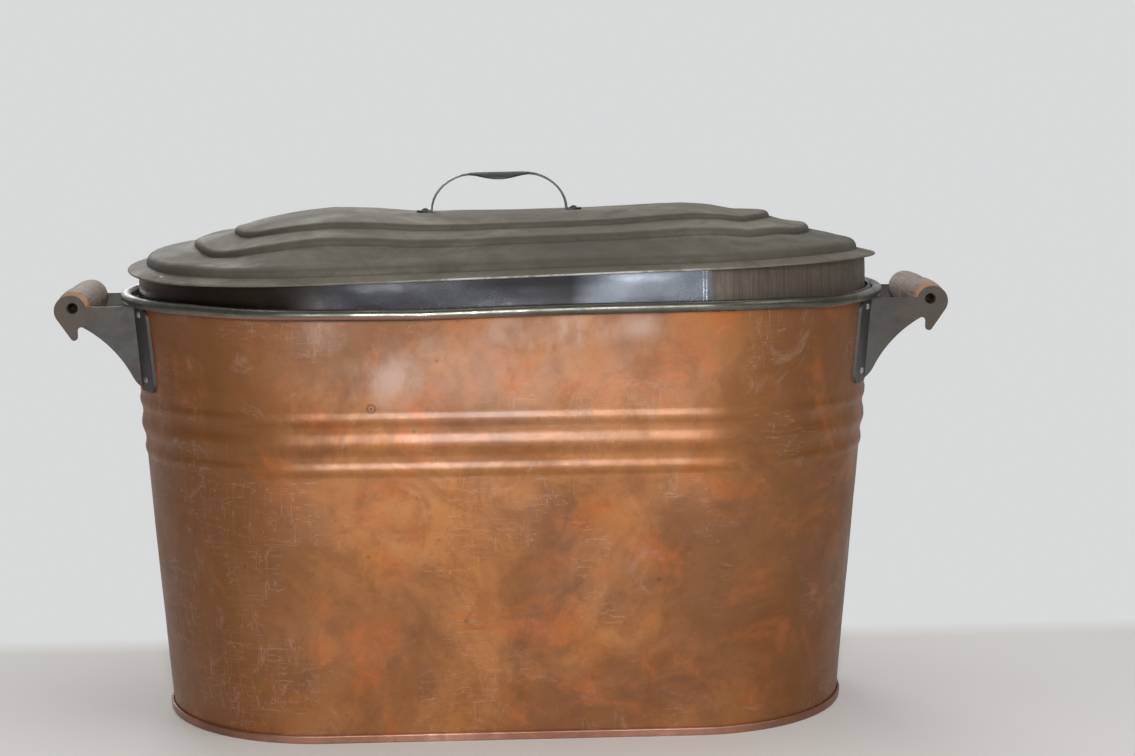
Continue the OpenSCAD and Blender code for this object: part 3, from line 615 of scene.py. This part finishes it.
rimRadius = bodyShape["rimWidth"] / 2 - rollRadius - sheet / 2
rimHeight = bodyShape["rimHeight"]
footRadius = bodyShape["footWidth"] / 2 - 3 * layer
wallSlope = (rimRadius - rollRadius + sheet / 2 - footRadius) / rimHeight
hookHeight = 2.5 * sheet + 2 * bodyShape["foldGap"]
lipHeight = bodyShape["footHeight"] - 1.5 * sheet - bodyShape["foldGap"]
seamFoot = bodyShape["footHeight"] + bodyShape["foldGap"]
seamTop = rimHeight - rollRadius - 2 * sheet
up = np.array([0, 0, 1])


def layerRadius(k, z):
    # The middle of the sheet that lies k layers outside the wall, at a height
    return footRadius + wallSlope * z + k * layer - sheet / 2


def wallLine(low, high):
    # The wall's middle line, where each bead is one wave of a cosine, closely spaced
    z = np.union1d(np.linspace(low, high, bodyShape["wallSteps"]),
                   np.linspace(*bodyShape["beadBand"], bodyShape["beadSteps"]))
    r = layerRadius(0, z)
    for middle, width, height in bodyShape["beads"]:
        near = np.abs(z - middle) < width / 2
        r = r + near * height * (1 + np.cos(2 * np.pi * (z - middle) / width)) / 2
    return np.stack([r, z], 1)


# The body's section: the lip of the foot seam, its hook, the wall and the rolled rim
bodyLine = np.vstack([
    [[layerRadius(2, lipHeight), lipHeight]],
    arc([layerRadius(1, hookHeight), hookHeight], layer, 0, -180, bodyShape["footSteps"]),
    wallLine(seamFoot, seamTop),
    arc([rimRadius, rimHeight], rollRadius, 180, 180 - bodyShape["rollTurn"], bodyShape["rollSteps"]),
])


def rimLift(points):
    # The bent rim: it waves up and down along the front, and along the back turned about
    x, y, z = points[..., 0], points[..., 1], points[..., 2]
    wave = np.interp(np.where(y < 0, x, -x), bodyShape["rimX"], bodyShape["rimZ"])
    return wave * smoothStep(*bodyShape["liftFrom"], z) * smoothStep(*bodyShape["liftY"], np.abs(y))


def wallDents(points):
    # Outward shift of the wall: long waves and short ripples of noise that fade out at the
    # foot, at the rim and under the brackets
    x, y, z = np.abs(points[..., 0]), np.abs(points[..., 1]), points[..., 2]
    free = smoothStep(*bodyShape["footFree"], z) * (1 - smoothStep(*bodyShape["rimFree"], z))
    held = smoothStep(*bodyShape["bracketX"], x) * smoothStep(*bodyShape["bracketZ"], z)
    held = held * (1 - smoothStep(*bodyShape["bracketY"], y))
    high = 1 + bodyShape["highRipple"] * smoothStep(*bodyShape["highFrom"], z)
    height, size, seed = bodyShape["waves"]
    shift = height * softNoise(points, size, seed)
    height, size, seed = bodyShape["ripples"]
    shift = shift + height * high * softNoise(points, size, seed)
    return shift * free * (1 - held)


def bodyHalf(name, turned):
    # One body sheet. turned is 0 for the front half and 180 degrees for the back half.
    side = -1 if turned else 1
    near, far = -side * endX, side * endX
    start, middle, end = 180 - turned, 270 - turned, 360 - turned
    butt = np.degrees(bodyShape["foldGap"] / footRadius)
    around = stations(((near, start), (near, middle), bodyShape["endSteps"]),
                      ((near, middle), (far, middle), bodyShape["sideSteps"]),
                      ((far, middle), (far, end - butt), bodyShape["endSteps"]))
    outer, inner = sheetSides(bodyLine, around, sheet)
    points = carry(bodyLine, around)
    shift = wallDents(points)[..., None] * outward(around) + rimLift(points)[..., None] * up
    main = shell(outer + shift, inner + shift)
    # The lap: the same wall a layer further out, let down to the main sheet by the joggle
    lapTurn, joggleTurn = (np.degrees(bodyShape[k] / footRadius) for k in ("lap", "joggle"))
    strip = stations(((near, start - lapTurn), (near, start), bodyShape["lapSteps"]),
                     ((near, start), (near, start + joggleTurn), bodyShape["lapSteps"]))
    line = wallLine(seamFoot, seamTop)
    drop = bodyShape["joggleDrop"] * smoothStep(0, joggleTurn, np.degrees(strip[1]) - start)
    rise = (layer * (1 - drop))[:, None, None]
    outer, inner = sheetSides(line, strip, sheet)
    shift = (wallDents(carry(line, strip))[..., None] + rise) * outward(strip)
    lap = shell(outer + shift, inner + shift)
    return meshFrom(name, *joined(main, lap))


def makeWire():
    # The rim's wire, bent as the sheet that is rolled round it
    ring = arc([rimRadius, rimHeight], bodyShape["wire"] / 2, 0, 360, bodyShape["wireSteps"])
    points = carry(ring, wholePlan())
    points = points + rimLift(points)[..., None] * up
    faces = gridFaces(len(points), len(ring), 0, closed=True)
    return meshFrom("rimWireBent", points.reshape(-1, 3), faces, sharp=60)


show(bodyHalf("bodyFrontSheet", 0), "boiler", "copper", [copper, rimTin], "body_front")
show(bodyHalf("bodyBackSheet", 180), "boiler", "copper", [copper, rimTin], "body_back")
show(makeWire(), "boiler", "rim_iron", [iron], "rim_wire")
print("body sheets made")

lidShape = {
    # the lid's place in the mouth, as the part's source finds it: tilt in degrees, shift
    # along the length and height of the curl
    "tilt": 0.6, "shift": 0.000532112, "seat": 0.330334,
    "skirtHeight": 0.0276, "curl": 0.0052, "sheet": 0.0005, "gap": 0.0001, "play": 0.00075,
    "brimRadius": 0.154, "brimWidth": 0.015, "brimRise": 0.0035, "hem": 0.006, "overhang": 0.0085,
    # from the brim inwards: heights of the steps, widths of the tiers, rises of the tiers
    "steps": (0.008, 0.0055, 0.004), "tiers": (0.0375, 0.0315), "rises": (0.008, 0.0048, 0.0038),
    "shoulder": 0.88, "flat": 0.010, "seamOut": 0.003, "lap": 0.004, "lapRise": (0.1, 0.9), "twist": 0.125,
    # steps of the grid, and how the points of a tread are spaced from its foot outwards
    "crownSteps": 16, "shoulderSteps": 8, "hemSteps": 10, "hemRows": 4, "curlSteps": 18,
    "wallSteps": 12, "lapWallSteps": 10, "halfSteps": 72, "edgeSteps": 4, "lapSteps": 5,
    "treadShares": (0, 0.04, 0.12, 0.25, 0.4, 0.55, 0.7, 0.85),
    # lift of the dented cover along the length, over the plain steps
    "dentX": (-0.264, -0.230, -0.204, -0.165, -0.135, -0.100, -0.070, -0.05, 0.045, 0.065, 0.115,
              0.144, 0.164, 0.184, 0.207, 0.224, 0.260),
    "dentZ": (0, -0.0032, -0.0040, 0.0012, 0.0038, 0.0028, 0.0004, 0, 0, 0.0002, 0.0014,
              0.0024, 0.0012, -0.0016, -0.0005, -0.0020, 0),
    "dentFade": (0.112, 0.139),
    # larger dents: middle x, middle y, width, depth
    "dents": ((-0.218, -0.055, 0.030, 0.005), (-0.236, 0.010, 0.028, 0.002), (0.236, -0.04, 0.035, 0.0015)),
    # noise of the cover, the brim and the skirt: height, size, seed
    "smallDents": ((0.0011, 0.07, 21), (0.0005, 0.03, 5)), "smallFade": (0.125, 0.146),
    "brimWave": (0.0005, 0.09, 13), "brimFrom": (0.125, 0.15),
    "skirtWave": (0.0004, 0.05, 17), "skirtFree": 0.01, "skirtHeld": (-0.008, 0.0), "twistFree": 0.02,
    # the handle's feet, round which the cover keeps its plain form
    "handleX": -0.003, "footX": 0.059, "footReach": 0.014,
}
curlZ = -lidShape["skirtHeight"] + lidShape["curl"] / 2
lidSheet = lidShape["sheet"]
lidLayer = lidSheet + lidShape["gap"]
hemRadius = lidShape["brimRadius"] - lidLayer - lidSheet / 2
hemMiddle = lidSheet / 2 + lidLayer
brimSlope = lidShape["brimRise"] / (lidShape["brimWidth"] - (lidShape["brimRadius"] - hemRadius))
edges = lidShape["brimRadius"] - lidShape["brimWidth"] - np.cumsum([0, *lidShape["tiers"]])
steps = np.array(lidShape["steps"])
corners = lidShape["shoulder"] * steps
feet = np.cumsum([
    hemMiddle + lidLayer + lidShape["brimRise"], steps[0] + lidShape["rises"][0],
    steps[1] + lidShape["rises"][1]])
crownHeight = feet[2] + steps[2] + lidShape["rises"][2]
crownRadius = edges[2] - corners[2]


def seatLid(points):
    # Lid coordinates into the frame: turned about Y by the tilt at the curl's height
    tilt = np.radians(lidShape["tilt"])
    x, y, z = points[..., 0], points[..., 1], points[..., 2] - curlZ
    return np.stack([
        x * np.cos(tilt) - z * np.sin(tilt) + lidShape["shift"], y,
        x * np.sin(tilt) + z * np.cos(tilt) + lidShape["seat"]], -1)


def coverLine():
    # The cover's section from the crown out to the hem: a level hub, a parabola, and then
    # for each tier a rounded shoulder and a sloping tread, and the fold of the hem
    flat, rises, tiers = lidShape["flat"], lidShape["rises"], lidShape["tiers"]
    outwards = np.linspace(0, 1, lidShape["crownSteps"])
    crown = np.stack([flat + (crownRadius - flat) * outwards, crownHeight - rises[2] * outwards ** 2], 1)
    rows = [[[0, crownHeight]], [[flat / 2, crownHeight]], crown[:-1]]
    slopes = [rises[0] / (tiers[0] - corners[0]), rises[1] / (tiers[1] - corners[1]),
              2 * rises[2] / (crownRadius - flat)]
    shares = np.array(lidShape["treadShares"])[:, None]
    for k in (2, 1, 0):
        centre = [edges[k] - corners[k], feet[k] + steps[k] - corners[k]]
        lean = np.degrees(np.arctan(slopes[k]))
        rows.append(arc(centre, corners[k], 90 - lean, 0, lidShape["shoulderSteps"]))
        foot = np.array([edges[k], feet[k]])
        if k:
            nextTop = np.array([edges[k - 1] - corners[k - 1], feet[k - 1] + steps[k - 1]])
        else:
            nextTop = np.array([hemRadius, hemMiddle + lidLayer])
        rows.append(foot + (nextTop - foot) * shares)
    rows.append(arc([hemRadius, hemMiddle], lidLayer, 90, -90, lidShape["hemSteps"]))
    inward = np.linspace(0, lidShape["hem"], lidShape["hemRows"])[1:, None]
    rows.append(np.array([hemRadius, lidSheet / 2]) + inward * np.array([-1, brimSlope]))
    return np.vstack(rows)


def lidTwist(points):
    # The lid is bent a little out of level: one pair of corners is low, the other pair high
    return -lidShape["twist"] * points[..., 0] * points[..., 1]


def coverDents(points, r):
    # Lift of the cover: the measured ridge line along the length, which fades out towards
    # the brim, three larger dents and noise for the smaller ones. The feet of the handle
    # stay where they are.
    x, y, level = points[..., 0], points[..., 1], points * [1, 1, 0]
    lift = np.interp(x, lidShape["dentX"], lidShape["dentZ"])
    lift = lift * (1 - smoothStep(*lidShape["dentFade"], r))
    for middleX, middleY, width, depth in lidShape["dents"]:
        lift = lift - depth * np.exp(-((x - middleX) ** 2 + (y - middleY) ** 2) / width ** 2)
    small = sum(height * softNoise(level, size, seed) for height, size, seed in lidShape["smallDents"])
    toFoot = (np.abs(x - lidShape["handleX"]) - lidShape["footX"]) ** 2 + y ** 2
    free = 1 - np.exp(-toFoot / lidShape["footReach"] ** 2)
    height, size, seed = lidShape["brimWave"]
    brim = height * softNoise(level, size, seed) * smoothStep(*lidShape["brimFrom"], r)
    return lift + small * (1 - smoothStep(*lidShape["smallFade"], r)) * free + brim + lidTwist(points)


def makeCover():
    line, around = coverLine(), wholePlan()
    lower, upper = sheetSides(line, around, lidSheet)
    lift = coverDents(carry(line, around), line[:, 0])[..., None] * up
    # the line runs outwards, so its left is above: seen from outside the grid is turned over
    points, faces, marks = shell(seatLid(lower + lift), seatLid(upper + lift), closed=True, hub=True)
    return meshFrom("lidCoverSheet", points, faces, 1 - marks, sharp=40)


show(makeCover(), "lid", "tin", [tin, tin], "lid_cover")

skirtRadius = lidShape["brimRadius"] - lidShape["overhang"] - lidSheet / 2
skirtTop = hemMiddle + brimSlope * (hemRadius - skirtRadius)
curlRadius = (lidShape["curl"] - lidSheet) / 2
curlMiddle = rimRadius - rollRadius - sheet / 2 - lidShape["play"] - lidShape["curl"] / 2


def skirtWall(count, low, high):
    # The skirt's wall from high to low: a straight line that leans in to meet the curl
    z = np.linspace(high, low, count)
    r = skirtRadius + (curlMiddle - curlRadius - skirtRadius) * (skirtTop - z) / (skirtTop - curlZ)
    return np.stack([r, z], 1)


# The skirt's section: under the brim, down the wall and round the curl
skirtLine = np.vstack([
    [[hemRadius - lidShape["gap"], hemMiddle + brimSlope * lidShape["gap"]]],
    skirtWall(lidShape["wallSteps"], curlZ, skirtTop)[:-1],
    arc([curlMiddle, curlZ], curlRadius, 180, 450, lidShape["curlSteps"]),
])


def skirtShift(points, out):
    # Noise across the skirt, held at the curl and the brim, and the twist of the lid
    z = points[..., 2]
    free = smoothStep(curlZ, curlZ + lidShape["skirtFree"], z) * (1 - smoothStep(*lidShape["skirtHeld"], z))
    height, size, seed = lidShape["skirtWave"]
    wave = height * softNoise(points, size, seed) * free
    twist = lidTwist(points) * smoothStep(curlZ, curlZ + lidShape["twistFree"], z)
    return wave[..., None] * out + twist[..., None] * up


def makeSkirt(name, turned):
    # One half of the skirt, from the back seam round its end to the front seam, and its lap
    side = -1 if turned else 1
    near, far = -side * endX, side * endX
    back, front = 90 + turned, 270 + turned
    seam, edge = lidShape["seamOut"], lidShape["seamOut"] - lidShape["gap"]
    seamTurn, edgeTurn, lapTurn = (np.degrees(s / skirtRadius) for s in (seam, edge, edge + lidShape["lap"]))
    around = stations(((near, back + seamTurn), (near, front), lidShape["halfSteps"]),
                      ((near, front), (far, front), lidShape["halfSteps"]),
                      ((far, front), (far, front + edgeTurn), lidShape["edgeSteps"]))
    shift = skirtShift(carry(skirtLine, around), outward(around))
    right, left = sheetSides(skirtLine, around, lidSheet)
    main = shell(seatLid(right + shift), seatLid(left + shift))
    # The lap rises from the edge of this half to a layer outside the other half
    line = skirtWall(lidShape["lapWallSteps"], curlZ + lidShape["curl"] / 2 + lidShape["gap"], -lidSheet)
    strip = stations(((far, front), (far, front + edgeTurn), lidShape["lapSteps"]),
                     ((far, front + edgeTurn), (far, front + lapTurn), lidShape["lapSteps"]))
    low, more = lidShape["lapRise"]
    rise = lidLayer * (low + more * smoothStep(0, edgeTurn, np.degrees(strip[1]) - 270 - turned))
    shift = skirtShift(carry(line, strip), outward(strip)) + rise[:, None, None] * outward(strip)
    right, left = sheetSides(line, strip, lidSheet)
    points, faces, marks = joined(main, shell(seatLid(right + shift), seatLid(left + shift)))
    return meshFrom(name, points, faces[:, ::-1], marks)


show(makeSkirt("lidSkirtLeftSheet", 0), "lid", "tin", [shinySkirt, shinySkirt], "lid_skirt_left")
show(makeSkirt("lidSkirtRightSheet", 180), "lid", "tin", [mattSkirt, mattSkirt], "lid_skirt_right")
print("lid made")

# The other pieces keep the CAD's own mesh and get a finish only
plain = {
    "bottom": hemCopper, "bracket_rivets": rivetZinc,
    "bracket_left_front": zinc, "bracket_left_back": zinc,
    "bracket_right_front": zinc, "bracket_right_back": zinc,
    "grip_left": wood, "grip_right": wood, "lid_handle": iron, "lid_rivets": iron,
}
for name, material in plain.items():
    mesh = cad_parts[name].data
    mesh.materials.clear()
    mesh.materials.append(material)

stage = {
    "floor": (0.68, 0.662, 0.635, 1), "floorRough": 0.85, "wall": (0.69, 0.695, 0.70, 1),
    "room": (0.08, 0.075, 0.07, 1), "roomFrom": (0.1, 0.65), "reach": 6.0, "wallY": 0.165,
    "wallFade": (-0.02, 0.03), "fade": (0.95, 1.6), "light": (1, 1, 1, 1), "world": 0.31,
}


def makeFloor():
    reach = stage["reach"]
    mesh = bpy.data.meshes.new("floor")
    mesh.from_pydata([(-reach, -reach, 0), (reach, -reach, 0), (reach, reach, 0), (-reach, reach, 0)],
                     [], [(0, 1, 2, 3)])
    floor = bpy.data.objects.new("floor", mesh)
    bpy.context.scene.collection.objects.link(floor)
    # Behind the object and far off the floor takes the wall's tone, for the camera only
    f = Finish("paleFloor")
    f.finish(color=stage["floor"], rough=stage["floorRough"])
    seen = addNode(f.tree, "ShaderNodeLightPath")
    tone = addNode(f.tree, "ShaderNodeEmission", {"Color": stage["wall"], "Strength": 1.0})
    before, after = stage["wallFade"]
    behind = f.ranged(f.axes()[1], stage["wallY"] + before, stage["wallY"] + after)
    distant = f.ranged(f.away((0, 0, 0), (1, 1, 1)), *stage["fade"])
    share = f.times(f.math("MAXIMUM", behind, distant), seen.outputs["Is Camera Ray"])
    both = addNode(f.tree, "ShaderNodeMixShader", {0: share, 1: f.shader.outputs[0], 2: tone.outputs[0]})
    f.tree.links.new(both.outputs[0], f.output.inputs["Surface"])
    mesh.materials.append(f.material)


def makeWorld():
    # The wall's colour for the camera and through glass, the wall and a darker room in
    # reflections, and plain white light on rough surfaces
    world = bpy.data.worlds.new("studio")
    bpy.context.scene.world = world
    world.use_nodes = True
    tree = world.node_tree
    tree.nodes.clear()
    seen = addNode(tree, "ShaderNodeLightPath")
    toward = addNode(tree, "ShaderNodeTexCoord").outputs["Generated"]
    depth = addNode(tree, "ShaderNodeSeparateXYZ", {0: toward}).outputs[1]
    low, high = stage["roomFrom"]
    share = addNode(tree, "ShaderNodeMapRange", {"Value": depth, "From Min": low, "From Max": high})
    around = addNode(tree, "ShaderNodeMix", {
        0: share.outputs["Result"], 6: stage["room"], 7: stage["wall"]}, data_type="RGBA")
    direct = addNode(tree, "ShaderNodeBackground", {"Color": stage["wall"], "Strength": 1.0})
    mirrored = addNode(tree, "ShaderNodeBackground", {"Color": around.outputs[2], "Strength": 1.0})
    chosen = addNode(tree, "ShaderNodeBackground", {"Color": stage["light"], "Strength": stage["world"]})
    for ray, shown in (("Glossy", mirrored), ("Transmission", direct), ("Camera", direct)):
        chosen = addNode(tree, "ShaderNodeMixShader", {
            0: seen.outputs["Is %s Ray" % ray], 1: chosen.outputs[0], 2: shown.outputs[0]})
    addNode(tree, "ShaderNodeOutputWorld", {"Surface": chosen.outputs[0]})


def standAt(name, data, right, upward, back, at):
    # An object at a place, with its own x, y and z axes along the three directions
    made = bpy.data.objects.new(name, data)
    bpy.context.scene.collection.objects.link(made)
    rows = np.stack([right, upward, back, at], 1)
    made.matrix_world = Matrix(np.vstack([rows, [0, 0, 0, 1]]).tolist())
    return made


lamps = {
    "key": {"at": (-0.05, -2.2, 0.85), "aim": (0, 0, 0.25), "size": (0.35, 0.9), "power": 38},
    "window": {"at": (1.9, -1.3, 1.9), "aim": (0, 0, 0.2), "size": (1.4, 1.4), "power": 14},
    "top": {"at": (0, 0.2, 2.4), "aim": (0, 0, 0.3), "size": (1.8, 1.2), "power": 12},
    "back": {"at": (-0.7, 2.1, 1.3), "aim": (0, 0, 0.2), "size": (1.2, 1.0), "power": 16},
}


def addLamp(name, lamp):
    light = bpy.data.lights.new(name, "AREA")
    light.shape = "RECTANGLE"
    light.size, light.size_y = lamp["size"]
    light.energy = lamp["power"]
    back = np.array(lamp["at"]) - np.array(lamp["aim"])
    back /= np.linalg.norm(back)
    right = np.cross(up, back)
    right /= np.linalg.norm(right)
    standAt(name, light, right, np.cross(back, right), back, lamp["at"])


cameraSet = {  # found from the rim, the foot and the bracket heads; angles in degrees
    "pitch": 8.1694, "yaw": 3.3936, "roll": -0.3028, "focal": 2200, "width": 1135,
    "at": (-0.0533, -1.7510, 0.5113), "sensor": 36, "farthest": 50,
}


def turning(angle, a, b):
    # The matrix of a turn by an angle, in degrees, that takes axis a towards axis b
    turn, angle = np.eye(3), np.radians(angle)
    turn[a, a] = turn[b, b] = np.cos(angle)
    turn[a, b], turn[b, a] = -np.sin(angle), np.sin(angle)
    return turn


def addCamera():
    # The turns are about the three axes of a camera that looks along +Y when unturned
    axesSwap = np.array([[1, 0, 0], [0, 0, -1], [0, 1, 0]])
    turned = turning(cameraSet["roll"], 0, 1) @ turning(cameraSet["pitch"], 1, 2)
    right, down, forwards = turned @ axesSwap @ turning(cameraSet["yaw"], 0, 1)
    camera = bpy.data.cameras.new("camera")
    camera.sensor_width = cameraSet["sensor"]
    camera.lens = cameraSet["focal"] / cameraSet["width"] * cameraSet["sensor"]
    camera.clip_end = cameraSet["farthest"]
    bpy.context.scene.camera = standAt("camera", camera, right, -down, -forwards, cameraSet["at"])


makeFloor()
makeWorld()
for name, lamp in lamps.items():
    addLamp(name, lamp)
addCamera()
bpy.context.scene.view_settings.view_transform = "Standard"
print("stage, lights and camera set")
